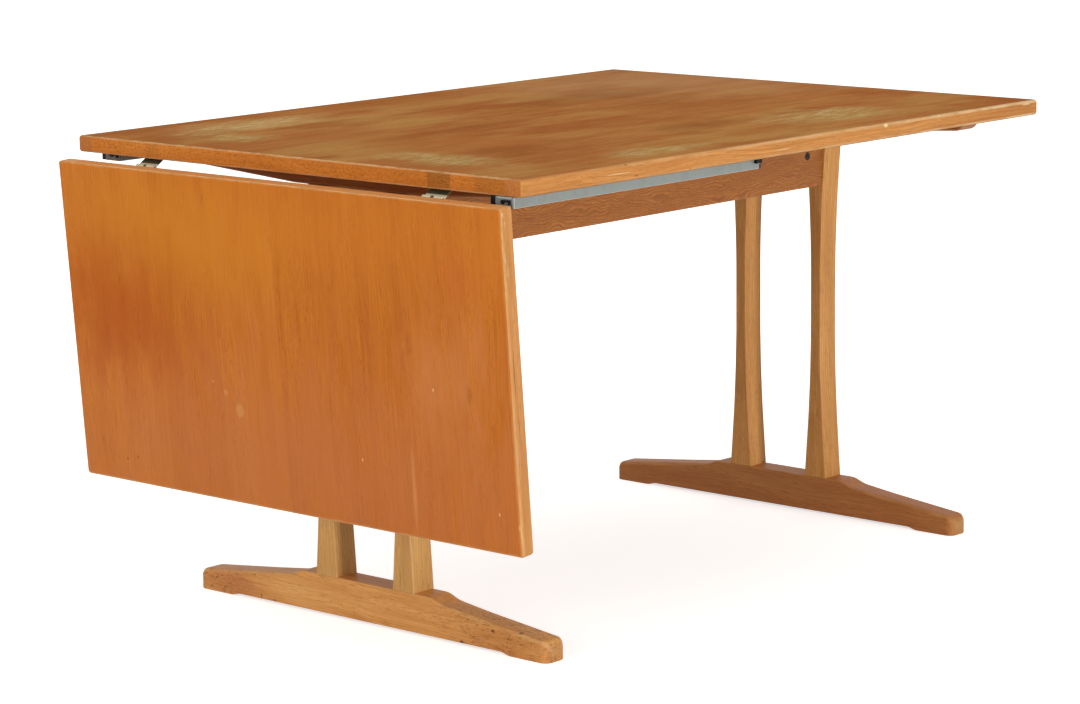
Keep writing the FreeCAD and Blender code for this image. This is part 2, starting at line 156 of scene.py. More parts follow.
class Graph:
    """Node tree of a material or of the world."""

    def __init__(self, owner: Material | bpy.types.World) -> None:
        """Start with an empty tree of its owner."""
        self.owner = owner
        owner.use_nodes = True
        self.tree = owner.node_tree
        self.tree.nodes.clear()

    @classmethod
    def of_material(cls, name: str) -> "Graph":
        """Tree of a new material."""
        return cls(bpy.data.materials.new(name))

    def node(
        self,
        kind: str,
        settings: dict[str, object] | None = None,
        inputs: dict[str | int, object] | None = None,
        output: int = 0,
    ) -> Value | None:
        """Add a node, make its settings, then feed its sockets.

        Args:
            kind: Node type, less its leading ShaderNode.
            settings: Properties to set first; "stops" holds a ramp's positions and colours.
            inputs: Values or links by socket name or number.
            output: Number of the output socket to hand back.

        Returns:
            The output as a Value, or None for a node without outputs.
        """
        made = self.tree.nodes.new("ShaderNode" + kind)
        for key, setting in (settings or {}).items():
            if key == "stops":
                self._set_stops(made.color_ramp, setting)
            else:
                setattr(made, key, setting)
        for key, given in (inputs or {}).items():
            if isinstance(given, Value):
                self.tree.links.new(given.socket, made.inputs[key])
            else:
                made.inputs[key].default_value = given
        return Value(self, made.outputs[output]) if len(made.outputs) else None

    @staticmethod
    def _set_stops(ramp: bpy.types.ColorRamp, stops: Sequence[tuple[float, str]]) -> None:
        """Fill a colour ramp with stops, each a position and a written colour."""
        while len(ramp.elements) < len(stops):
            ramp.elements.new(0.5)
        for element, (position, code) in zip(ramp.elements, stops):
            element.position = position
            element.color = colour(code)

    def maths(self, operation: str, *operands: Operand) -> Value:
        """Math node on one or two operands."""
        return self.node("Math", {"operation": operation}, dict(enumerate(operands)))

    def vector(self, operation: str, a: Value | Triple, b: Value | Triple, output: int = 0) -> Value:
        """Vector Math node on two vectors; output 1 is its number, such as a length."""
        return self.node("VectorMath", {"operation": operation}, {0: a, 1: b}, output)

    def blend(self, share: Operand, under: Value | str, over: Value | str) -> Value:
        """Mix two colours, each a Value or a written colour, by the share of the second."""
        first, second = (c if isinstance(c, Value) else colour(c) for c in (under, over))
        return self.node("Mix", {"data_type": "RGBA"}, {0: share, 6: first, 7: second}, 2)

    def noise(self, place: Value, scale: Pair, detail: float = 2.0, output: int = 0) -> Value:
        """Noise with cells of one length along X and another across it.

        Args:
            place: Coordinates in metres.
            scale: Cells per metre, along and across.
            detail: Octaves.
            output: 0 for the factor, 1 for the colour.

        Returns:
            The noise.
        """
        along, across = scale
        spread = self.vector("MULTIPLY", place, (along, across, across))
        inputs = {"Vector": spread, "Scale": 1.0, "Detail": detail, "Roughness": 0.6}
        return self.node("TexNoise", None, inputs, output)

    def distance(self, place: Value, centre: Triple, scale: Triple = (1.0, 1.0, 1.0)) -> Value:
        """Distance from a point, with each axis scaled first."""
        shift = self.vector("MULTIPLY", self.vector("SUBTRACT", place, centre), scale)
        return self.vector("LENGTH", shift, (0.0, 0.0, 0.0), 1)

    def turned(self, place: Value, rotation: Triple, location: Triple = (0.0, 0.0, 0.0)) -> Value:
        """Coordinates turned and then moved."""
        return self.node("Mapping", None, {"Vector": place, "Rotation": rotation, "Location": location})

    def place(self, rotation: Triple = (0.0, 0.0, 0.0), location: Triple = (0.0, 0.0, 0.0)) -> Value:
        """Object coordinates, turned and then moved."""
        return self.turned(self.node("TexCoord", None, None, 3), rotation, location)

    def axes(self, place: Value) -> tuple[Value, Value, Value]:
        """The three numbers of a vector."""
        split = self.node("SeparateXYZ", None, {0: place})
        outputs = split.socket.node.outputs
        return tuple(Value(self, outputs[i]) for i in range(3))

    def attribute(self, name: str) -> Value:
        """Number kept on the mesh under a name."""
        return self.node("Attribute", {"attribute_name": name}, None, 2)

    def seen_rays(self) -> Value:
        """1 for rays from the eye, by a mirror or through glass, and 0 for rays that light things."""
        rays = self.node("LightPath").socket.node.outputs
        names = ("Is Camera Ray", "Is Glossy Ray", "Is Transmission Ray")
        camera, glossy, through = (Value(self, rays[name]) for name in names)
        return (camera + glossy + through).apply("SIGN")

    def surface(
        self, base: Value, rough: Operand, height: Value, relief: float, constants: dict[str, float]
    ) -> Material:
        """Close the tree with a Principled shader.

        Args:
            base: Base colour.
            rough: Roughness.
            height: Relief from 0 to 1.
            relief: Height in metres that the relief stands for.
            constants: Values of other sockets of the shader.

        Returns:
            The finished material.
        """
        bump = self.node("Bump", None, {"Height": height, "Distance": relief, "Strength": 1.0})
        inputs = {"Base Color": base, "Roughness": rough, "Normal": bump, **constants}
        shader = self.node("BsdfPrincipled", None, inputs)
        self.node("OutputMaterial", None, {"Surface": shader})
        return self.owner


# Finishes


@dataclass(frozen=True)
class WoodTone:
    """Colours of one kind of wood, from its dark to its pale fibres."""

    dark: str
    middle: str
    pale: str
    pore: str
    ring: str
    worn: str
    end: str


AMBER_TOP = WoodTone("945A2E", "AE703E", "BE844E", "5A3014", "8A522A", "DAC494", "8A5026")
ORANGE_FACE = WoodTone("AE5C18", "C47022", "D28238", "8A4616", "AC5C1A", "E0B070", "A0561C")
GOLDEN_EDGE = WoodTone("A26430", "C08246", "D69856", "70421E", "A4662C", "EBD2A4", "BE7034")
BRIGHT_EDGE = WoodTone("B07240", "CE9256", "E2A868", "70421E", "AE7238", "EBD2A4", "CE8A4A")
REDDISH_END = WoodTone("B66922", "CC7A2E", "DA8E3F", "562A10", "8A4816", "DCA676", "A85E26")
LIGHT_END = WoodTone("BC7434", "D08A48", "DE9C5A", "6A3C1C", "9A5A28", "E8C08C", "BC7436")
PALE_OAK = WoodTone("B4844A", "CE9C5A", "E0B070", "684222", "A6743A", "E4C690", "AE7C44")
WARM_OAK = WoodTone("B67C3E", "D09450", "E0A864", "6A401E", "A0682E", "E2BC82", "B47C44")
FOOT_OAK = WoodTone("BC7A3C", "D89852", "E8B06A", "5A3416", "A86A30", "E8C892", "A87240")
BROWN_OAK = WoodTone("965E2C", "AE6C38", "BC8248", "5E3A1A", "8A5526", "D4AA6C", "BE8E54")
BEARER_OAK = WoodTone("8E5429", "A46A37", "B67F49", "5A3317", "84491F", "C99A62", "946036")
RAIL_OAK = WoodTone("8C5026", "AA682E", "BE7E3E", "44280F", "6E4018", "CFA36A", "8A5528")


class MarkKind(Enum):
    """What a mark on a wooden piece is."""

    WORN = "worn through, with pale flecks"
    CHIP = "pale and sharp"
    DENT = "dark and sharp"
    TINT = "soft patch of another shade"
    SPECKS = "patch of dark specks and short cracks"


@dataclass(frozen=True)
class Mark:
    """Local mark on a wooden piece, in its timber coordinates in metres."""

    kind: MarkKind
    centre: Triple
    reach: Triple
    strength: float = 1.0
    softness: float = 0.8
    shade: str = "A98A4C"


@dataclass(frozen=True)
class Drift:
    """Long soft streaks of another shade in a wooden piece."""

    shade: str
    strength: float
    scale: Pair = (1.1, 9.0)
    start: float = 0.45
    full: float = 0.65


@dataclass(frozen=True)
class Timber:
    """How a wooden piece was cut and how its fibres, pores and rings show."""

    name: str
    tone: WoodTone
    grain: Grain = Grain.LENGTHWISE
    pith: tuple[float, float] = (0.03, -0.09)
    ring_width: float = 0.005
    ring_strength: float = 0.3
    ring_wander: float = 0.02
    wander_scale: Pair = (2.2, 7.0)
    fibre_strength: float = 0.5
    streak_strength: float = 0.5
    blotch_strength: float = 0.5
    pore_strength: float = 0.6
    tick_strength: float = 0.35
    wear_strength: float = 0.6
    end_cover: float = 0.75
    stave_width: float = 0.0
    stave_contrast: float = 0.0
    gloss: float = 0.25
    roughness: float = 0.5
    drifts: tuple[Drift, ...] = ()
    marks: tuple[Mark, ...] = ()

    def coordinates(self, graph: Graph) -> Value:
        """Coordinates with the grain along X."""
        return graph.place(self.grain.value)

    def material(self) -> Material:
        """Build the finished wood."""
        graph = Graph.of_material(self.name)
        place = self.coordinates(graph)
        log_place, offset = self.log_place(graph, place)
        shade, rough, height = self.figure(graph, log_place, offset)
        for mark in self.marks:
            shade, rough = self.add_mark(graph, place, mark, shade, rough)
        rubbed = 0.35 + 0.65 * graph.noise(place, (14.0, 60.0), 3.0).ramp(0.38, 0.62)
        shade = graph.blend(graph.attribute("worn") * rubbed * self.wear_strength, shade, self.tone.worn)
        constants = {"Specular IOR Level": self.gloss, "IOR": 1.45}
        return graph.surface(shade, rough, height, 0.0002, constants)

    def log_place(self, graph: Graph, place: Value) -> tuple[Value, Operand]:
        """Give each stave its own piece of the tree.

        Args:
            graph: Node tree to add to.
            place: Timber coordinates.

        Returns:
            Coordinates that jump from stave to stave, and the stave's own tone.
        """
        if not self.stave_width:
            return place, 0.0
        _, across, _ = graph.axes(place)
        stave = (across / self.stave_width).apply("FLOOR")
        jump = graph.node("TexWhiteNoise", {"noise_dimensions": "1D"}, {"W": stave}, 1)
        moved = graph.vector("ADD", place, graph.vector("MULTIPLY", jump, (0.9, 0.15, 0.12)))
        own, _, _ = graph.axes(jump)
        return moved, (own - 0.5) * self.stave_contrast

    def figure(self, graph: Graph, place: Value, offset: Operand) -> tuple[Value, Value, Value]:
        """Rings, fibres, streaks and pores.

        Args:
            graph: Node tree to add to.
            place: Timber coordinates.
            offset: Tone added all over, from dark to pale.

        Returns:
            Colour, roughness and relief.
        """
        bend = graph.noise(place, self.wander_scale, 2.0, 1)
        bend = graph.vector("MULTIPLY", graph.vector("SUBTRACT", bend, (0.5, 0.5, 0.5)), (0.0, 1.0, 1.0))
        reach = (0.0, self.ring_wander * 2, self.ring_wander * 2)
        bent = graph.vector("ADD", place, graph.vector("MULTIPLY", bend, reach))
        radial = graph.distance(bent, (0.0, *self.pith), (0.0, 1.0, 1.0))
        ring = (radial / self.ring_width).apply("FRACT")
        late = ring.ramp(0.2, 0.86) * ring.ramp(1.0, 0.9)

        fibre = graph.noise(bent, (9.0, 420.0), 3.0)
        streak = graph.noise(bent, (1.6, 42.0), 3.0)
        blotch = graph.noise(place, (2.5, 6.0), 3.0)
        tone = (
            0.5
            + (fibre - 0.5) * self.fibre_strength
            + (streak - 0.5) * self.streak_strength
            + (blotch - 0.5) * self.blotch_strength
            + offset
        )
        stops = ((0.2, self.tone.dark), (0.5, self.tone.middle), (0.8, self.tone.pale))
        shade = graph.node("ValToRGB", {"stops": stops}, {"Fac": tone})
        for drift in self.drifts:
            patch = graph.noise(bent, drift.scale, 3.0).ramp(drift.start, drift.full)
            shade = graph.blend(patch * drift.strength, shade, drift.shade)
        shade = graph.blend(late * self.ring_strength, shade, self.tone.ring)

        pore = graph.noise(bent, (60.0, 1500.0), 1.0).ramp(0.60, 0.70) * (1.25 - late)
        tick = graph.noise(bent, (30.0, 520.0), 1.0).ramp(0.66, 0.76)
        pore = pore * self.pore_strength * 0.75 + tick * self.tick_strength
        shade = graph.blend(pore, shade, self.tone.pore)
        cut = graph.noise(place, (260.0, 260.0), 3.0).ramp(0.35, 0.65)
        shade = graph.blend(graph.attribute("end") * self.end_cover * (0.7 + cut * 0.3), shade, self.tone.end)
        shade = graph.blend(graph.attribute("end") * cut.ramp(0.5, 1.0) * 0.25, shade, self.tone.pore)
        rough = self.roughness + (fibre - 0.5) * 0.12 + pore * 0.15
        height = fibre * 0.35 - pore * 0.6 + late * 0.15
        return shade, rough, height

    def add_mark(
        self, graph: Graph, place: Value, mark: Mark, shade: Value, rough: Value
    ) -> tuple[Value, Value]:
        """Lay one mark over the wood.

        Args:
            graph: Node tree to add to.
            place: Timber coordinates.
            mark: The mark.
            shade: Colour so far.
            rough: Roughness so far.

        Returns:
            The new colour and roughness.
        """
        away = graph.distance(place, mark.centre, tuple(1 / reach for reach in mark.reach))
        if mark.kind in (MarkKind.WORN, MarkKind.TINT, MarkKind.SPECKS):
            ragged = graph.noise(place, (9.0, 26.0), 4.0)
            away = away + (ragged - 0.5) * 1.3
        mask = away.ramp(1.0, 1.0 - mark.softness) * mark.strength
        if mark.kind is MarkKind.TINT:
            return graph.blend(mask, shade, mark.shade), rough
        if mark.kind is MarkKind.SPECKS:
            speck = graph.noise(place, (150.0, 260.0), 2.0).ramp(0.56, 0.66)
            crack = graph.noise(place, (40.0, 330.0), 3.0).ramp(0.55, 0.64)
            return graph.blend(mask * (speck * 0.6 + crack * 0.4), shade, self.tone.pore), rough
        if mark.kind is MarkKind.DENT:
            return graph.blend(mask, shade, self.tone.pore), rough
        if mark.kind is MarkKind.CHIP:
            return graph.blend(mask, shade, self.tone.worn), rough + mask * 0.1
        scuffed = graph.noise(place, (26.0, 210.0), 5.0).ramp(0.46, 0.70)
        fleck = graph.noise(place, (130.0, 620.0), 2.0).ramp(0.58, 0.72)
        faded = graph.blend(mask * 0.6, shade, mark.shade)
        faded = graph.blend(mask * scuffed * 0.75, faded, self.tone.worn)
        return graph.blend(mask * fleck * 0.7, faded, self.tone.worn), rough + mask * 0.15


@dataclass(frozen=True)
class LeafTimber(Timber):
    """Wood of the leaf, which hangs: its coordinates are those of the raised leaf."""

    def coordinates(self, graph: Graph) -> Value:
        """Coordinates along the leaf, measured from the hinge axis."""
        moved = Matrix.Rotation(LEAF_TURN, 3, "Y") @ HINGE_AXIS
        raised = graph.place((0.0, LEAF_TURN, 0.0), tuple(-moved))
        return graph.turned(raised, self.grain.value)


@dataclass(frozen=True)
class LippedCore(Timber):
    """Core with its grain across at the ends, and blocks of end grain let in between."""

    blocks: tuple[Triple, ...] = ()
    block_shade: str = "70481E"
    arc_shift: float = 0.004
    arc_height: float = 0.676
    arc_width: float = 0.0034
    seam: float = 0.0004

    def figure(self, graph: Graph, place: Value, offset: Operand) -> tuple[Value, Value, Value]:
        """Cross grain, with arcs of end grain in the blocks."""
        shade, rough, height = super().figure(graph, place, offset)
        along, _, _ = graph.axes(place)
        for low, high, strength in self.blocks:
            away = graph.distance(place, (low + self.arc_shift, 0.0, self.arc_height), (1.0, 0.0, 1.0))
            arc = ((away + graph.noise(place, (60.0, 60.0)) * 0.006) / self.arc_width).apply("FRACT")
            inside = (along - low).ramp(-self.seam, self.seam) * (high - along).ramp(-self.seam, self.seam)
            cover = inside * (0.35 + arc.ramp(0.3, 0.9) * 0.45) * strength
            shade = graph.blend(cover, shade, self.block_shade)
        return shade, rough, height


@dataclass(frozen=True)
class Metal:
    """Metal with fine drawn lines, dull patches and rubbed edges."""

    name: str
    shade: str
    tarnish: str
    rubbed: str
    roughness: float
    lines: Pair = (8.0, 900.0)
    line_strength: float = 0.25
    tarnish_amount: float = 0.5
    metallic: float = 1.0

    def base(self, graph: Graph, place: Value) -> Value:
        """Colour of the metal before its wear."""
        patch = graph.noise(place, (70.0, 70.0), 3.0).ramp(0.42, 0.72)
        return graph.blend(patch * self.tarnish_amount, self.shade, self.tarnish)

    def material(self) -> Material:
        """Build the finished metal."""
        graph = Graph.of_material(self.name)
        place = graph.place()
        line = graph.noise(place, self.lines, 2.0)
        shade = graph.blend((line - 0.5) * self.line_strength + 0.1, self.base(graph, place), self.tarnish)
        # Pale on the worn edges: wear, and on the guides also a painted highlight along the bottom arris
        shade = graph.blend(graph.attribute("worn") * 0.8, shade, self.rubbed)
        rough = self.roughness + (line - 0.5) * 0.2
        return graph.surface(shade, rough, line, 0.00004, {"Metallic": self.metallic})


@dataclass(frozen=True)
class PaintedLightHingeMetal(Metal):
    """Plate metal with a knuckle colour painted round the hinge axis as painted light: a pale painted
    highlight on lit knuckles, dark painted shade on knuckles in shadow.
    """

    knuckle_painted_light: str = "CFC6A6"
    painted_light_reach: float = 0.0072

    def base(self, graph: Graph, place: Value) -> Value:
        """Plate colour, with the knuckle's painted light blended in round the hinge axis."""
        away = graph.distance(place, tuple(HINGE_AXIS), (1.0, 0.0, 1.0))
        # Share of the knuckle's painted light, full near the hinge axis
        near = away.ramp(self.painted_light_reach * 1.25, self.painted_light_reach)
        return graph.blend(near, super().base(graph, place), self.knuckle_painted_light)


@dataclass(frozen=True)
class Plastic:
    """Dark moulded plastic with a fine skin and rubbed edges."""

    name: str
    shade: str
    rubbed: str
    roughness: float = 0.5

    def material(self) -> Material:
        """Build the finished plastic."""
        graph = Graph.of_material(self.name)
        place = graph.place()
        skin = graph.noise(place, (2200.0, 2200.0), 2.0)
        dust = graph.noise(place, (180.0, 180.0), 3.0).ramp(0.5, 0.75)
        shade = graph.blend(graph.attribute("worn") * 0.6 + dust * 0.25, self.shade, self.rubbed)
        return graph.surface(shade, self.roughness + dust * 0.2, skin, 0.00005, {"Specular IOR Level": 0.15})


# Meshes


def number_layer(shape: BMesh, name: str) -> bmesh.types.BMLayerItem:
    """Layer of a number per vertex, made if it is missing."""
    layers = shape.verts.layers.float
    return layers.get(name) or layers.new(name)


def bevel(
    shape: BMesh, parts: Iterable, width: float, segments: int, affect: str = "EDGES", clamp: bool = False
) -> dict:
    """Round edges, or vertices if affect says so."""
    return bmesh.ops.bevel(
        shape,
        geom=list(parts),
        offset=width,
        affect=affect,
        segments=segments,
        profile=0.5,
        material=-1,
        clamp_overlap=clamp,
    )


def soften(shape: BMesh, edges: Iterable, width: float, segments: int) -> None:
    """Bevel edges round and mark the middle of each bevel as worn.

    Args:
        shape: Mesh to change.
        edges: Edges to bevel.
        width: Width taken off each side, in metres.
        segments: Steps of the rounding.
    """
    worn = number_layer(shape, "worn")
    made = bevel(shape, edges, width, segments, clamp=True)
    strip = set(made["faces"])
    for vertex in made["verts"]:
        if all(face in strip for face in vertex.link_faces):
            vertex[worn] = 1.0


def sharp_edges(shape: BMesh, degrees: float = 25.0) -> list[BMEdge]:
    """Convex edges whose two faces turn by more than an angle."""
    least = math.radians(degrees)
    return [
        edge
        for edge in shape.edges
        if len(edge.link_faces) == 2 and edge.is_convex and edge.calc_face_angle(0.0) > least
    ]


def mark_ends(shape: BMesh, along: Vector) -> None:
    """Mark the faces that cut across the grain's direction, so that they show end grain."""
    end = number_layer(shape, "end")
    shape.normal_update()
    for face in shape.faces:
        if abs(face.normal.dot(along)) > 0.9:
            for vertex in face.verts:
                vertex[end] = 1.0


def sink_recess(shape: BMesh, cap: BMFace, radius_at: Outline, depth: float) -> None:
    """Sink a recess of any outline into a round flat cap.

    Args:
        shape: Mesh that the cap belongs to.
        cap: Flat round face.
        radius_at: Distance of the outline from the middle, by angle.
        depth: Depth of the recess.
    """
    normal = cap.normal.copy()
    middle = cap.calc_center_median()
    first = normal.orthogonal().normalized()
    second = normal.cross(first)
    bmesh.ops.inset_region(shape, faces=[cap], thickness=RECESS_RIM, use_even_offset=True)
    for vertex in cap.verts:
        out = vertex.co - middle
        angle = math.atan2(out.dot(second), out.dot(first))
        reach = radius_at(angle)
        vertex.co = middle + (first * math.cos(angle) + second * math.sin(angle)) * reach
    made = bmesh.ops.extrude_discrete_faces(shape, faces=[cap])
    floor = made["faces"][0]
    bmesh.ops.translate(shape, vec=normal * -depth, verts=floor.verts)


def slot_outline(half_length: float, half_width: float) -> Outline:
    """Outline of a screwdriver slot, for sink_recess."""

    def radius_at(angle: float) -> float:
        """Distance of the slot's edge from its middle."""
        along = abs(math.cos(angle)) / half_length
        across = abs(math.sin(angle)) / half_width
        return 1 / max(along, across)

    return radius_at


def hexagon_outline(across_flats: float) -> Outline:
    """Outline of a hexagonal socket, for sink_recess."""

    def radius_at(angle: float) -> float:
        """Distance of the socket's edge from its middle."""
        turn = (angle + math.pi / 6) % (math.pi / 3) - math.pi / 6
        return across_flats / 2 / math.cos(turn)

    return radius_at


def gather(shapes: Iterable[BMesh]) -> BMesh:
    """Join several meshes in one and free them."""
    whole = bmesh.new()
    number_layer(whole, "worn")
    for shape in shapes:
        passing = bpy.data.meshes.new("passing")
        shape.to_mesh(passing)
        shape.free()
        whole.from_mesh(passing)
        bpy.data.meshes.remove(passing)
    return whole


def linked(name: str, data: bpy.types.ID) -> Object:
    """Put a mesh, a camera or a lamp into the scene."""
    made = bpy.data.objects.new(name, data)
    bpy.context.scene.collection.objects.link(made)
    return made


def finish_mesh(name: str, shape: BMesh, angle: float = 40.0) -> Object:
    """Turn a bmesh into a smooth-shaded object at the origin.

    Args:
        name: Name of the piece.
        shape: Finished mesh, which is freed.
        angle: Least turn in degrees that stays a hard edge.

    Returns:
        The linked object.
    """
    mesh = bpy.data.meshes.new(name)
    for face in shape.faces:
        face.smooth = True
    shape.to_mesh(mesh)
    shape.free()
    mesh.set_sharp_from_angle(angle=math.radians(angle))
    made = linked(name, mesh)
    weighted = made.modifiers.new("normals", "WEIGHTED_NORMAL")
    weighted.keep_sharp = True
    weighted.weight = 80
    return made


def node_shape(node: str) -> BMesh:
    """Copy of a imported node's mesh with its doubles merged and its flat faces whole."""
    shape = bmesh.new()
    shape.from_mesh(frame["nodes"][node].data)
    bmesh.ops.remove_doubles(shape, verts=shape.verts, dist=1e-6)
    bmesh.ops.dissolve_limit(shape, angle_limit=math.radians(0.5), verts=shape.verts, edges=shape.edges)
    return shape


def dress(piece: Object, material: Material, body: str) -> Object:
    """Give a new piece its material and body, and report it.

    Args:
        piece: The piece.
        material: Its material.
        body: Body that it moves with.

    Returns:
        The piece.
    """
    piece.data.materials.clear()
    piece.data.materials.append(material)
    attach(piece, body)
    log.info("%s rides on %s", piece.name, body)
    return piece


def stand_in(node: str, shape: BMesh, material: Material, body: str = "table") -> None:
    """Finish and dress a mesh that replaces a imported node."""
    piece = dress(finish_mesh(node + "_shaped", shape), material, body)
    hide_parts(node)


def shaped_copy(
    node: str, material: Material, slot: str, body: str = "table", along: Vector | None = None
) -> None:
    """Make a stand-in for a node with its sharp edges rounded.

    Args:
        node: Node to copy and replace.
        material: Material of the copy.
        slot: Material slot of the record.
        body: Body that it moves with.
        along: Direction of the grain, or None if the piece isn't wooden.
    """
    shape = node_shape(node)
    soften(shape, sharp_edges(shape), *ROUNDINGS[slot])
    if along is not None:
        mark_ends(shape, along)
    stand_in(node, shape, material, body)


# Boards


@dataclass
class Board:
    """Veneered board between solid edge strips, round at its corners."""

    name: str
    body: str
    face: Timber
    core: Timber
    edge: Timber
    joint_side: float
    turn: Matrix
    veneer: float = 0.001
    strip: float = 0.030
    corner_radius: float = 0.006
    corner_steps: int = 8
    edge_radius: float = 0.005
    edge_steps: int = 6
    joint_arris: float = 0.003
    joint_steps: int = 4
    PARTS: ClassVar[tuple[str, ...]] = ("core", "edge_left", "edge_right", "face_veneer", "under_veneer")

    def __post_init__(self) -> None:
        """Read the board's corners, flat at table height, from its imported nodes."""
        back = self.turn.inverted()
        nodes = [frame["nodes"][f"{self.name}_{part}"] for part in self.PARTS]
        points = [back @ vertex.co for node in nodes for vertex in node.data.vertices]
        self.low = Vector([min(point[axis] for point in points) for axis in range(3)])
        self.high = Vector([max(point[axis] for point in points) for axis in range(3)])
        self.joint_x = self.high.x if self.joint_side > 0 else self.low.x

    def at_joint(self, edge: BMEdge) -> bool:
        """Tell whether an edge bounds the end that meets the other board."""
        return all(abs(vertex.co.x - self.joint_x) < SAME_PLACE for vertex in edge.verts)

    def blank(self) -> BMesh:
        """Whole board: round at its outer end and long sides, sharper where it meets the other."""
        shape = bmesh.new()
        bmesh.ops.create_cube(shape, size=1.0)
        bmesh.ops.scale(shape, vec=self.high - self.low, verts=shape.verts)
        bmesh.ops.translate(shape, vec=(self.low + self.high) / 2, verts=shape.verts)
        outer = [e for e in shape.edges if not any(abs(v.co.x - self.joint_x) < SAME_PLACE for v in e.verts)]
        upright = [e for e in outer if abs(e.verts[0].co.z - e.verts[1].co.z) > SAME_PLACE]
        bevel(shape, upright, self.corner_radius, self.corner_steps)
        rims = [
            edge
            for edge in shape.edges
            if abs(edge.calc_face_angle(0.0) - math.pi / 2) < 0.01
            and not self.at_joint(edge)
        ]
        soften(shape, rims, self.edge_radius, self.edge_steps)
        soften(shape, filter(self.at_joint, shape.edges), self.joint_arris, self.joint_steps)
        mark_ends(shape, ALONG)
        return shape

    def slice(self, low: Pair, high: Pair) -> BMesh:
        """Closed part of the board.

        Args:
            low: Least Y and Z of the part.
            high: Greatest Y and Z of the part.

        Returns:
            The part as a bmesh.
        """
        shape = self.blank()
        for corner, sign in ((low, -1.0), (high, 1.0)):
            for axis, place in zip((1, 2), corner):
                if not self.low[axis] < place < self.high[axis]:
                    continue
                normal = Vector((0.0, 0.0, 0.0))
                normal[axis] = sign
                geometry = [*shape.verts, *shape.edges, *shape.faces]
                cut = bmesh.ops.bisect_plane(
                    shape, geom=geometry, plane_co=normal * place * sign, plane_no=normal, clear_outer=True
                )
                rim = [e for e in cut["geom_cut"] if isinstance(e, BMEdge)]
                bmesh.ops.holes_fill(shape, edges=rim)
        return shape

    def keep_joint_end(self, shape: BMesh) -> None:
        """Take the pale wear off the end of a strip that meets the other board."""
        worn = number_layer(shape, "worn")
        for vertex in shape.verts:
            if abs(vertex.co.x - self.joint_x) < self.joint_arris * 1.5:
                vertex[worn] = 0.0

    def parts(self) -> dict[str, tuple[Pair, Pair, Timber, str]]:
        """Lowest and highest Y and Z, wood and slot of each part."""
        (_, right, floor), (_, left, roof) = self.low, self.high
        seam = left - self.strip
        under = floor + self.veneer
        over = roof - self.veneer
        return {
            "core": ((-seam, under), (seam, over), self.core, "core_wood"),
            "edge_left": ((seam, under), (left, over), self.edge, "edge_wood"),
            "edge_right": ((right, under), (-seam, over), self.edge, "edge_wood"),
            "face_veneer": ((right, over), (left, roof), self.face, "board_veneer"),
            "under_veneer": ((right, floor), (left, under), self.face, "board_veneer"),
        }

    def build(self) -> None:
        """Make and dress every part of the board."""
        woods = {timber.name: timber.material() for timber in (self.core, self.edge, self.face)}
        for part, (low, high, timber, slot) in self.parts().items():
            shape = self.slice(low, high)
            if part.startswith("edge"):
                self.keep_joint_end(shape)
            bmesh.ops.transform(shape, matrix=self.turn, verts=shape.verts)
            stand_in(f"{self.name}_{part}", shape, woods[timber.name], self.body)


# Trestles and rails


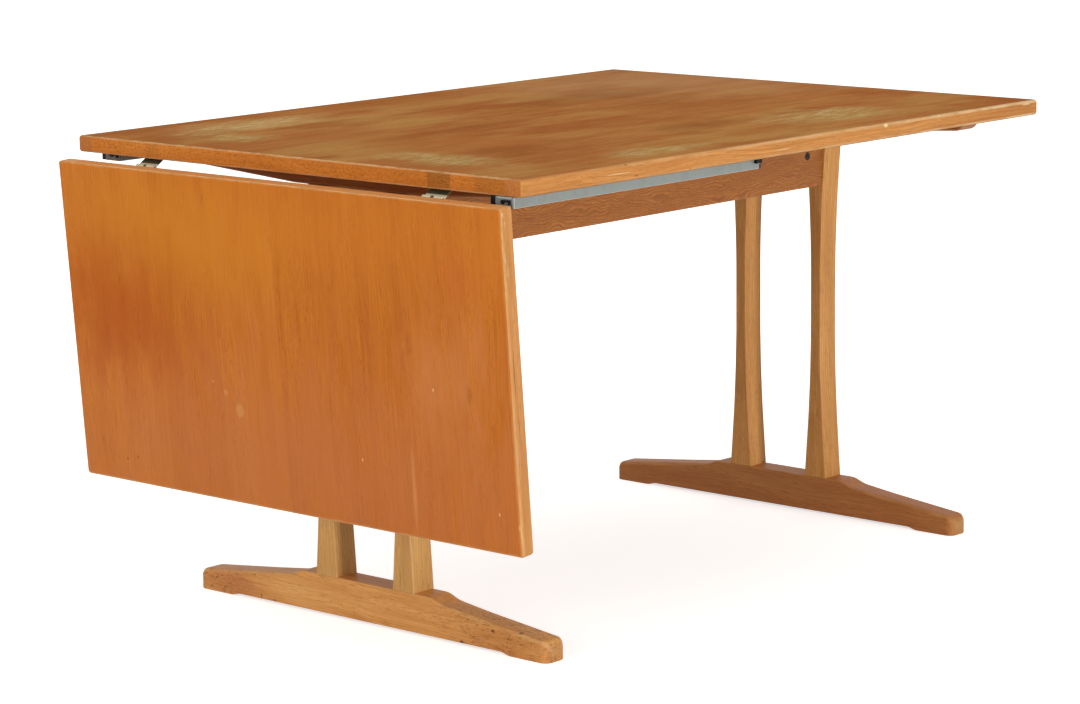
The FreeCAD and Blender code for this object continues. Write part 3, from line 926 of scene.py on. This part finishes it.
@dataclass(frozen=True)
class SledgeFoot:
    """Foot whose arms are worn rounder than its middle, bridged through rounded sections."""

    node: str
    middle_radius: float = 0.0022
    arm_radius: float = 0.0080
    under_radius: float = 0.0012
    end_radius: float = 0.012
    arm_start: float = 0.130
    arm_full: float = 0.215
    longest_step: float = 0.012
    end_steps: tuple[float, ...] = (0.0, 0.0003, 0.0009, 0.0018, 0.003, 0.0045, 0.0065, 0.009, 0.012)
    side_inset: float = 0.0080
    tip: float = 0.0002
    end_grain: float = 0.005
    arm_wear: float = 0.4
    segments: int = 6

    def places(self, packed: Iterable[float], end: float) -> list[float]:
        """Where the sections stand along the foot.

        Args:
            packed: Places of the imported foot's corners.
            end: Half the foot's length.

        Returns:
            Places from one end to the other, never far apart.
        """
        wanted = sorted({round(abs(y), 4) for y in packed if abs(y) < end - max(self.end_steps)} | {0.0})
        wanted += [end - step for step in reversed(self.end_steps)]
        half: list[float] = []
        for low, high in zip(wanted, wanted[1:]):
            count = math.ceil((high - low) / self.longest_step)
            half += [low + (high - low) * i / count for i in range(count) if high - low > self.tip]
        return [-y for y in reversed([*half[1:], end])] + [*half, end]

    def section(self, shape: BMesh, ground: BVHTree, y: float, low: Vector, high: Vector) -> list:
        """Add one rounded section.

        Args:
            shape: Mesh to add to.
            ground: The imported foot, for its height at each place.
            y: Place of the section.
            low: Lowest corner of the foot.
            high: Highest corner of the foot.

        Returns:
            Edges of the section.
        """
        from_end = high.y - abs(y)
        probe = Vector((high.x - self.side_inset, math.copysign(high.y - max(from_end, self.tip), y), -1.0))
        floor = ground.ray_cast(probe, UP)[0].z
        probe.z = 1.0
        roof = ground.ray_cast(probe, -UP)[0].z
        missing = max(self.end_radius - from_end, 0.0)
        drawn_in = self.end_radius - math.sqrt(self.end_radius**2 - missing**2)
        half = (high.x - low.x) / 2 - drawn_in
        arm = min(max((abs(y) - self.arm_start) / (self.arm_full - self.arm_start), 0.0), 1.0)
        radius = self.middle_radius + (self.arm_radius - self.middle_radius) * arm
        made = bmesh.ops.create_grid(shape, x_segments=1, y_segments=1, size=1.0)["verts"]
        upper = [vertex for vertex in made if vertex.co.y > 0]
        lower = [vertex for vertex in made if vertex.co.y < 0]
        middle = (low.x + high.x) / 2
        for vertex in made:
            side = math.copysign(half, vertex.co.x)
            vertex.co = Vector((middle + side, y, roof if vertex in upper else floor))
        for corners, offset in ((upper, radius), (lower, self.under_radius)):
            bevel(shape, corners, offset, self.segments, affect="VERTICES")
        face = next(iter(shape.faces))
        edges = list(face.edges)
        worn, end = (number_layer(shape, name) for name in ("worn", "end"))
        for vertex in face.verts:
            inward = half - abs(vertex.co.x - middle)
            rounded = min(inward, roof - vertex.co.z) > 0.1 * radius and roof - vertex.co.z < radius
            vertex[worn] = self.arm_wear if rounded else 0.0
            vertex[end] = max(0.0, 1.0 - from_end / self.end_grain)
        bmesh.ops.delete(shape, geom=[face], context="FACES_ONLY")
        return edges

    def shape(self) -> BMesh:
        """Bridge the sections from one end to the other and close both ends."""
        packed = node_shape(self.node)
        ground = BVHTree.FromBMesh(packed)
        low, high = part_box(self.node)
        places = self.places([vertex.co.y for vertex in packed.verts], high.y)
        packed.free()
        shape = bmesh.new()
        for name in ("worn", "end"):
            number_layer(shape, name)
        rings = [self.section(shape, ground, y, low, high) for y in places]
        for before, after in zip(rings, rings[1:]):
            bmesh.ops.bridge_loops(shape, edges=[*before, *after])
        bmesh.ops.holes_fill(shape, edges=[*rings[0], *rings[-1]], sides=0)
        bmesh.ops.recalc_face_normals(shape, faces=shape.faces)
        return shape


@dataclass
class Trestle:
    """Foot, two legs and bearer at one end."""

    name: str
    legs: dict[str, Timber]
    foot: Timber
    bearer: Timber

    def build(self) -> None:
        """Make and dress the pieces."""
        foot = self.name + "_foot"
        stand_in(foot, SledgeFoot(foot).shape(), self.foot.material())
        shaped_copy(self.name + "_bearer", self.bearer.material(), "bearer_wood", along=ACROSS)
        for side, timber in self.legs.items():
            shaped_copy(f"{self.name}_leg_{side}", timber.material(), "frame_wood", along=UP)


# Bolts and screws


@dataclass(frozen=True)
class ScrewKind:
    """Sizes of a slotted screw head in metres; taper, slot reach and slot depth are shares."""

    radius: float
    height: float
    slot_width: float = 0.0008
    taper: float = 0.82
    slot_reach: float = 0.74
    slot_depth: float = 0.8
    sides: int = 24

    def head(self, place: Vector, out: Vector) -> BMesh:
        """Slotted head at a place on a surface, facing out."""
        shape = bmesh.new()
        bmesh.ops.create_cone(
            shape,
            cap_ends=True,
            segments=self.sides,
            radius1=self.radius,
            radius2=self.radius * self.taper,
            depth=self.height,
        )
        cap = max(shape.faces, key=lambda face: face.calc_center_median().z)
        outline = slot_outline(self.radius * self.slot_reach, self.slot_width / 2)
        sink_recess(shape, cap, outline, self.height * self.slot_depth)
        turn = out.to_track_quat("Z", "Y").to_matrix().to_4x4()
        middle = place + out * self.height / 2
        bmesh.ops.transform(shape, matrix=Matrix.Translation(middle) @ turn, verts=shape.verts)
        return shape


@dataclass
class Fasteners:
    """Screws of the hinges, bearers and guides, and the rails' bolts and barrel nuts."""

    steel: Material
    dark: Material
    wood_screw: ScrewKind = ScrewKind(0.0042, 0.0009)
    hinge_screw: ScrewKind = ScrewKind(0.0032, 0.0006)
    small_screw: ScrewKind = ScrewKind(0.0028, 0.0009)
    socket_flats: float = 0.006
    socket_depth: float = 0.0017
    nut_slot: float = 0.0092
    nut_slot_width: float = 0.0018
    nut_depth: float = 0.0016
    plate_thickness: float = 0.0018
    bearer_shares: tuple[float, ...] = (-0.64, -0.12, 0.12, 0.64)
    top_plate_screws: tuple[Pair, ...] = ((-0.007, 0.0), (-0.024, 0.011), (-0.024, -0.011))
    leaf_plate_screws: tuple[Pair, ...] = ((-0.040, 0.0), (-0.021, 0.011), (-0.021, -0.011))
    channel_screw_inset: float = 0.06

    def screws(self, name: str, body: str, heads: list[BMesh]) -> None:
        """Join screw heads in one piece and dress it."""
        dress(finish_mesh(name, gather(heads), 30.0), self.steel, body)

    def bearer_screws(self, name: str) -> None:
        """Screws up through a bearer, between its legs and beyond them."""
        low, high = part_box(name)
        shape = node_shape(name)
        ground = BVHTree.FromBMesh(shape)
        shape.free()
        heads = []
        for share in self.bearer_shares:
            start = Vector(((low.x + high.x) / 2, high.y * share, low.z - 0.01))
            place, normal, _, _ = ground.ray_cast(start, UP)
            heads.append(self.wood_screw.head(place, normal))
        self.screws(name + "_screws", "table", heads)

    def hinge_screws(self, side: str) -> None:
        """Screws of both plates of a hinge."""
        low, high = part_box(f"hinge_{side}_top_plate")
        middle = (low.y + high.y) / 2
        plate = high.z - self.plate_thickness

        def heads(start: float, places: Iterable[Pair]) -> list[BMesh]:
            """Heads under a plate, at places along from its start and across from its middle."""
            return [self.hinge_screw.head(Vector((start + x, middle + y, plate)), -UP) for x, y in places]

        self.screws(f"hinge_{side}_top_screws", "table", heads(high.x, self.top_plate_screws))
        hanging = heads(HINGE_AXIS.x, self.leaf_plate_screws)
        for head in hanging:
            bmesh.ops.transform(head, matrix=HANG, verts=head.verts)
        self.screws(f"hinge_{side}_leaf_screws", "leaf", hanging)

    def guide_screws(self, side: str) -> None:
        """Screws under a guide's block, clip and channel."""
        places = []
        for part in ("block", "clip"):
            low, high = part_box(f"guide_{side}_{part}")
            places.append((*((low + high) / 2).xy, low.z))
        low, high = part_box(f"guide_{side}_channel")
        for x in (low.x + self.channel_screw_inset, high.x - self.channel_screw_inset):
            places.append((x, (low.y + high.y) / 2, low.z))
        heads = [self.small_screw.head(Vector(place), -UP) for place in places]
        self.screws(f"guide_{side}_screws", "table", heads)

    def socketed(self, node: str, axis: int, outline: Outline, depth: float) -> None:
        """Copy bolts or nuts, with a recess in each of their outermost ends.

        Args:
            node: Node to copy and replace.
            axis: Number of the axis that they lie along.
            outline: Outline of the recess.
            depth: Depth of the recess.
        """
        shape = node_shape(node)
        places = [vertex.co[axis] for vertex in shape.verts]
        ends = (max(places), min(places))
        middles = {face: face.calc_center_median()[axis] for face in shape.faces}
        caps = [f for f, middle in middles.items() if min(abs(middle - end) for end in ends) < SAME_PLACE]
        for cap in caps:
            sink_recess(shape, cap, outline, depth)
        soften(shape, sharp_edges(shape), *ROUNDINGS["dark_steel"])
        stand_in(node, shape, self.dark)

    def build(self) -> None:
        """Make and dress every bolt and screw."""
        slot = slot_outline(self.nut_slot / 2, self.nut_slot_width / 2)
        self.socketed("rail_bolts", 0, hexagon_outline(self.socket_flats), self.socket_depth)
        self.socketed("rail_barrel_nuts", 1, slot, self.nut_depth)
        for name in ("front_bearer", "rear_bearer"):
            self.bearer_screws(name)
        for side in SIDES:
            self.hinge_screws(side)
            self.guide_screws(side)


# Studio


@dataclass
class Studio:
    """Camera, floor and soft lights."""

    image_width: int = 1080
    focal_pixels: float = 3428.0
    eye: Triple = (-4.032006, -3.495672, 1.310951)
    yaw: float = math.radians(41.384)
    pitch: float = math.radians(10.223)
    roll: float = math.radians(0.6594)
    fill: float = 0.35
    near_glow: float = 0.66
    floor_size: float = 30.0
    floor_shade: str = "E6E3DF"
    clear_radius: float = 1.2
    white_radius: float = 3.5
    aim: Triple = (0.0, 0.0, 0.45)

    def camera(self) -> None:
        """Place the camera, level with the horizon but for a slight roll."""
        data = bpy.data.cameras.new("camera")
        data.sensor_width = 36.0
        data.lens = self.focal_pixels * data.sensor_width / self.image_width
        data.clip_end = 100.0
        turn = (
            Matrix.Rotation(self.yaw - math.pi / 2, 4, "Z")
            @ Matrix.Rotation(math.pi / 2 - self.pitch, 4, "X")
            @ Matrix.Rotation(-self.roll, 4, "Z")
        )
        made = linked("camera", data)
        made.matrix_world = Matrix.Translation(self.eye) @ turn
        bpy.context.scene.camera = made

    def floor(self) -> None:
        """Lay a pale floor that looks white where no shadow falls."""
        shape = bmesh.new()
        bmesh.ops.create_grid(shape, x_segments=1, y_segments=1, size=self.floor_size)
        mesh = bpy.data.meshes.new("floor")
        shape.to_mesh(mesh)
        shape.free()
        made = linked("floor", mesh)
        graph = Graph.of_material("pale_floor")
        away = graph.distance(graph.place(), (0.0, 0.0, 0.0))
        strength = self.near_glow + away.ramp(self.clear_radius, self.white_radius) * (1 - self.near_glow)
        plain = graph.node("BsdfDiffuse", None, {"Color": colour(self.floor_shade)})
        glow = graph.node("Emission", None, {"Color": (1, 1, 1, 1), "Strength": strength})
        bright = graph.node("AddShader", None, {0: plain, 1: glow})
        mixed = graph.node("MixShader", None, {0: graph.seen_rays(), 1: plain, 2: bright})
        graph.node("OutputMaterial", None, {"Surface": mixed})
        mesh.materials.append(graph.owner)

    def sky(self) -> None:
        """Plain light from all round, white where it is seen."""
        world = bpy.data.worlds.new("studio")
        bpy.context.scene.world = world
        graph = Graph(world)
        lit = graph.node("Background", None, {"Strength": self.fill})
        white = graph.node("Background", None, {"Strength": 1.0})
        for background in (lit, white):
            background.socket.node.inputs["Color"].default_value = (1.0, 1.0, 1.0, 1.0)
        mixed = graph.node("MixShader", None, {0: graph.seen_rays(), 1: lit, 2: white})
        graph.node("OutputWorld", None, {"Surface": mixed})

    def lamp(self, name: str, place: Triple, size: float, power: float) -> None:
        """Square soft lamp that faces the table.

        Args:
            name: Name of the lamp.
            place: Where it stands.
            size: Side of the square in metres.
            power: Power in watts.
        """
        data = bpy.data.lights.new(name, "AREA")
        data.shape = "SQUARE"
        data.size = size
        data.energy = power
        made = linked(name, data)
        made.location = place
        towards = Vector(self.aim) - Vector(place)
        made.rotation_euler = towards.to_track_quat("-Z", "Y").to_euler()

    def build(self) -> None:
        """Set up the whole studio."""
        bpy.context.scene.view_settings.view_transform = "Standard"
        self.camera()
        self.floor()
        self.sky()
        self.lamp("key", (-0.8, -5.5, 1.4), 0.8, 158.0)
        self.lamp("front", (-5.0, -0.5, 1.0), 3.0, 112.0)
        self.lamp("overhead", (0.5, 0.5, 4.5), 4.0, 96.0)


# Marks of wear and tone, and patches of painted sheen and reflection


worn_at, chip_at, dent_at, tint_at, specks_at = (partial(Mark, kind) for kind in MarkKind)

TOP_MARKS = (
    # Painted sheen: this pale greyish patch over the far part of the top stands in for the sheen seen there
    # at a grazing view
    tint_at((0.55, 0.25, 0.72), (0.50, 0.45, 0.05), 0.45, 1.0, "B58C66"),
    tint_at((-0.37, -0.20, 0.72), (0.10, 0.06, 0.01), 0.35, 0.8, "6E4020"),
    tint_at((0.29, 0.17, 0.72), (0.25, 0.09, 0.01), 0.25, 0.8, "6E4020"),
    tint_at((0.04, -0.23, 0.72), (0.16, 0.05, 0.01), 0.3, 0.8, "6E4020"),
    tint_at((-0.36, -0.10, 0.72), (0.14, 0.20, 0.01), 0.3, 0.8, "A85C2C"),
    worn_at((-0.36, 0.335, 0.72), (0.20, 0.080, 0.01), 1.0, 0.8, "B8925C"),
    worn_at((-0.49, 0.24, 0.72), (0.08, 0.08, 0.01), 0.8),
    worn_at((-0.50, -0.22, 0.72), (0.075, 0.15, 0.01), 0.95),
    worn_at((0.27, -0.31, 0.72), (0.18, 0.10, 0.01), 0.95),
    worn_at((-0.25, -0.385, 0.72), (0.14, 0.045, 0.01), 0.95),
)
TOP_EDGE_MARKS = (
    chip_at((0.231, -0.449, 0.7165), (0.006, 0.003, 0.0035), 0.9, 0.4),
    dent_at((-0.388, -0.449, 0.7185), (0.004, 0.003, 0.0025), 0.8, 0.4),
    chip_at((-0.404, -0.449, 0.7072), (0.034, 0.002, 0.0009), 0.6, 0.5),
    chip_at((-0.027, -0.449, 0.7045), (0.022, 0.002, 0.0009), 0.5, 0.5),
    dent_at((-0.366, -0.449, 0.7010), (0.005, 0.002, 0.0012), 0.7, 0.5),
    dent_at((-0.246, -0.449, 0.6990), (0.004, 0.002, 0.0010), 0.7, 0.5),
    chip_at((0.617, -0.449, 0.7150), (0.015, 0.003, 0.0020), 0.6, 0.6),
    chip_at((0.374, -0.449, 0.7190), (0.003, 0.003, 0.0020), 0.8, 0.4),
    dent_at((0.519, -0.449, 0.7180), (0.002, 0.003, 0.0040), 0.6, 0.4),
)
LEAF_MARKS = (
    # Painted reflection: these two patches grade the leaf from golden near the hinge to duller and pinker
    # below, standing in for the white floor reflected in its lower part
    tint_at((-0.42, 0.0, 0.037), (0.28, 1.2, 0.1), 0.6, 1.0, "BE7040"),
    tint_at((-0.05, 0.0, 0.037), (0.14, 1.2, 0.1), 0.5, 1.0, "CC7626"),
    tint_at((-0.09, 0.20, 0.037), (0.13, 0.34, 0.1), 0.55, 1.0, "CE8020"),
    tint_at((-0.21, 0.34, 0.037), (0.17, 0.24, 0.01), 0.7, 1.0, "AC4C10"),
    tint_at((-0.24, -0.33, 0.037), (0.17, 0.13, 0.01), 0.45, 1.0, "CE8248"),
    tint_at((-0.10, -0.36, 0.037), (0.06, 0.07, 0.01), 0.35, 1.0, "C06028"),
    tint_at((-0.262, -0.370, 0.037), (0.02, 0.008, 0.01), 0.25, 0.8, "7A4418"),
    tint_at((-0.415, -0.2515, 0.037), (0.085, 0.005, 0.01), 0.4, 0.9, "D89A5C"),
    chip_at((-0.341, 0.093, 0.037), (0.014, 0.010, 0.01), 0.25, 0.5),
    chip_at((-0.317, 0.120, 0.037), (0.006, 0.006, 0.01), 0.22, 0.5),
    chip_at((-0.303, 0.146, 0.037), (0.003, 0.005, 0.01), 0.2, 0.5),
    chip_at((-0.383, -0.153, 0.037), (0.003, 0.002, 0.01), 0.8, 0.4),
    chip_at((-0.263, -0.301, 0.037), (0.003, 0.002, 0.01), 0.8, 0.4),
    chip_at((-0.427, -0.411, 0.037), (0.003, 0.002, 0.01), 0.8, 0.4),
    chip_at((-0.441, -0.446, 0.037), (0.004, 0.002, 0.01), 0.5, 0.4),
    chip_at((-0.008, -0.449, 0.037), (0.005, 0.002, 0.01), 0.5, 0.6),
    chip_at((-0.026, -0.449, 0.037), (0.008, 0.002, 0.01), 0.4, 0.6),
    dent_at((-0.448, 0.351, 0.037), (0.003, 0.002, 0.01), 0.7, 0.4),
    dent_at((-0.443, 0.328, 0.037), (0.003, 0.002, 0.01), 0.7, 0.4),
)
LEAF_EDGE_MARKS = (
    chip_at((-0.004, -0.449, 0.033), (0.005, 0.004, 0.0020), 0.5, 0.6),
    chip_at((-0.016, -0.449, 0.030), (0.003, 0.004, 0.0012), 0.4, 0.6),
    worn_at((-0.06, -0.449, 0.034), (0.11, 0.004, 0.006), 0.5),
    dent_at((-0.225, -0.449, 0.030), (0.05, 0.004, 0.0012), 0.6, 0.6),
    dent_at((-0.300, -0.449, 0.027), (0.03, 0.004, 0.0010), 0.5, 0.6),
)
NEAR_FOOT_MARKS = (
    specks_at((-0.27, 0.468, 0.030), (0.17, 0.10, 0.06), 0.9, 0.8),
    specks_at((0.31, 0.468, 0.015), (0.12, 0.10, 0.05), 0.9, 0.8),
    tint_at((0.28, 0.468, 0.02), (0.13, 0.03, 0.05), 0.6, 1.0, "B0683A"),
    tint_at((-0.28, 0.468, 0.03), (0.16, 0.03, 0.06), 0.5, 1.0, "B06A32"),
    dent_at((-0.258, 0.468, 0.033), (0.004, 0.01, 0.0028), 0.9, 0.5),
    dent_at((-0.309, 0.468, 0.037), (0.005, 0.01, 0.0025), 0.9, 0.5),
    dent_at((-0.196, 0.468, 0.005), (0.005, 0.01, 0.0045), 0.9, 0.5),
    dent_at((0.321, 0.468, 0.023), (0.003, 0.01, 0.0016), 0.8, 0.5),
    dent_at((0.310, 0.468, 0.028), (0.002, 0.01, 0.0014), 0.8, 0.5),
    dent_at((0.303, 0.468, 0.010), (0.004, 0.01, 0.0014), 0.7, 0.5),
    dent_at((0.222, 0.468, 0.009), (0.002, 0.01, 0.0060), 0.6, 0.5),
    dent_at((0.193, 0.468, 0.006), (0.003, 0.01, 0.0020), 0.7, 0.5),
    dent_at((0.236, 0.468, 0.040), (0.003, 0.01, 0.0014), 0.6, 0.5),
)


# Assembly


def build_boards() -> None:
    """Build the fixed top and the hanging leaf."""
    face = Timber(
        "top_veneer", AMBER_TOP, pith=(0.05, -0.4), ring_width=0.012, ring_strength=0.15,
        streak_strength=0.5, fibre_strength=0.7, blotch_strength=0.8, gloss=0.0,
        drifts=(Drift("B08A4C", 0.45, (2.6, 6.0)), Drift("965028", 0.55, (3.2, 6.5), 0.5, 0.66)),
        marks=TOP_MARKS,
    )
    core = LippedCore(
        "top_core_wood", REDDISH_END, Grain.ACROSS, ring_width=0.02, ring_strength=0.1, end_cover=0.0,
        gloss=0.1, blocks=((-0.318, -0.275, 0.85), (-0.419, -0.362, 0.45), (0.270, 0.300, 0.3)),
    )
    edge = Timber(
        "top_edge_wood", GOLDEN_EDGE, pith=(0.3, 0.1), fibre_strength=0.8, gloss=0.1, marks=TOP_EDGE_MARKS
    )
    Board("top", "table", face, core, edge, -1.0, Matrix.Identity(4)).build()

    face = LeafTimber(
        "leaf_veneer", ORANGE_FACE, pith=(0.05, -0.5), ring_width=0.016, ring_strength=0.1,
        fibre_strength=0.7, streak_strength=0.4, blotch_strength=0.35, pore_strength=0.8, gloss=0.1,
        stave_width=0.125, stave_contrast=0.22, wear_strength=0.3, marks=LEAF_MARKS,
    )
    core = LeafTimber("leaf_core_wood", LIGHT_END, Grain.ACROSS, end_cover=0.0, gloss=0.1)
    edge = LeafTimber(
        "leaf_edge_wood", BRIGHT_EDGE, pith=(0.3, 0.1), wear_strength=0.25, gloss=0.1, marks=LEAF_EDGE_MARKS
    )
    Board("leaf", "leaf", face, core, edge, 1.0, HANG).build()


def build_frame() -> None:
    """Build the trestles and the rails."""
    ends = {"front": (PALE_OAK, FOOT_OAK, NEAR_FOOT_MARKS), "rear": (WARM_OAK, BROWN_OAK, ())}
    for name, (leg_tone, foot_tone, marks) in ends.items():
        legs = {}
        for side, sign in SIDES.items():
            wood = f"{name}_leg_{side}_wood"
            legs[side] = Timber(wood, leg_tone, Grain.UPRIGHT, (0.06 * sign, -0.12), fibre_strength=0.8)
        foot = Timber(
            f"{name}_foot_wood", foot_tone, Grain.ACROSS, ring_width=0.009, ring_strength=0.15,
            fibre_strength=0.8, end_cover=0.6, marks=marks,
        )
        Trestle(name, legs, foot, Timber(f"{name}_bearer_wood", BEARER_OAK, Grain.ACROSS)).build()
    for side in SIDES:
        rail = Timber(
            f"rail_{side}_wood", RAIL_OAK, ring_width=0.0045, ring_strength=0.5,
            ring_wander=0.03, wander_scale=(8.0, 16.0), fibre_strength=0.8,
        )
        shaped_copy(f"rail_{side}", rail.material(), "rail_wood", along=ALONG)


def build_fittings() -> None:
    """Dress the metal and plastic pieces."""
    # Hinge top plates: the dark plate colour is painted shade under the top, and the pale knuckles are a
    # painted highlight. Leaf plates and pins: brass with a dark knuckle painted as the shade between the top
    # plates' knuckles
    hinge = PaintedLightHingeMetal("pale_brass", "57503A", "453E2A", "DCD2B2", 0.42, metallic=0.5).material()
    inner = PaintedLightHingeMetal(
        "brass_painted_shade_knuckle", "8A8058", "6A6040", "6E664A", 0.5, metallic=0.6, knuckle_painted_light="4A4430"
    ).material()
    dark = Metal("dark_steel", "3A3532", "1E1A17", "7A726A", 0.45).material()
    screw = Metal("screw_steel", "A8A498", "6F6A5E", "D0CCC0", 0.38).material()
    # Guide metal: the pale rubbed colour on the worn edges is wear, and it also serves as a painted highlight
    # along the channels' bottom arris
    guide = Metal(
        "guide_metal", "838986", "72766E", "D8CCB8", 0.45,
        line_strength=0.15, tarnish_amount=0.4, metallic=0.3,
    ).material()
    # Both caps are one metal: the left one is a darker copy, painted shade for the cap in the shadow of the
    # top and leaf
    near = Metal("cap_metal", "7A807D", "6A6E68", "70756F", 0.55, tarnish_amount=0.4, metallic=0.1)
    shaded_cap = Metal("painted_shade_cap_metal", "6A6258", "544C42", "A49C8C", 0.5, tarnish_amount=0.6, metallic=0.3)
    caps = {"left": shaded_cap.material(), "right": near.material()}
    slide = Metal("slide_steel", "A3ABAA", "858D8D", "C9CCCD", 0.42, metallic=0.3).material()
    plastic = Plastic("black_plastic", "060606", "242424").material()
    hinges = (("top_plate", "table", hinge), ("leaf_plate", "leaf", inner), ("pin", "table", inner))
    for side in SIDES:
        for part, body, metal in hinges:
            shaped_copy(f"hinge_{side}_{part}", metal, "pale_brass", body)
        for part, metal in (("channel", guide), ("front_cap", caps[side])):
            shaped_copy(f"guide_{side}_{part}", metal, "guide_metal")
        for part in ("block", "clip", "hook", "rear_cap"):
            shaped_copy(f"guide_{side}_{part}", plastic, "black_plastic")
        for part in ("bar", "stop_pin"):
            shaped_copy(f"slide_{side}_{part}", slide, "slide_steel", f"slide_{side}")
    Fasteners(screw, dark).build()


def main() -> None:
    """Build the table and the studio."""
    logging.basicConfig(level=logging.INFO, format="%(message)s")
    build_boards()
    build_frame()
    build_fittings()
    Studio().build()


if __name__ == "__main__":
    main()
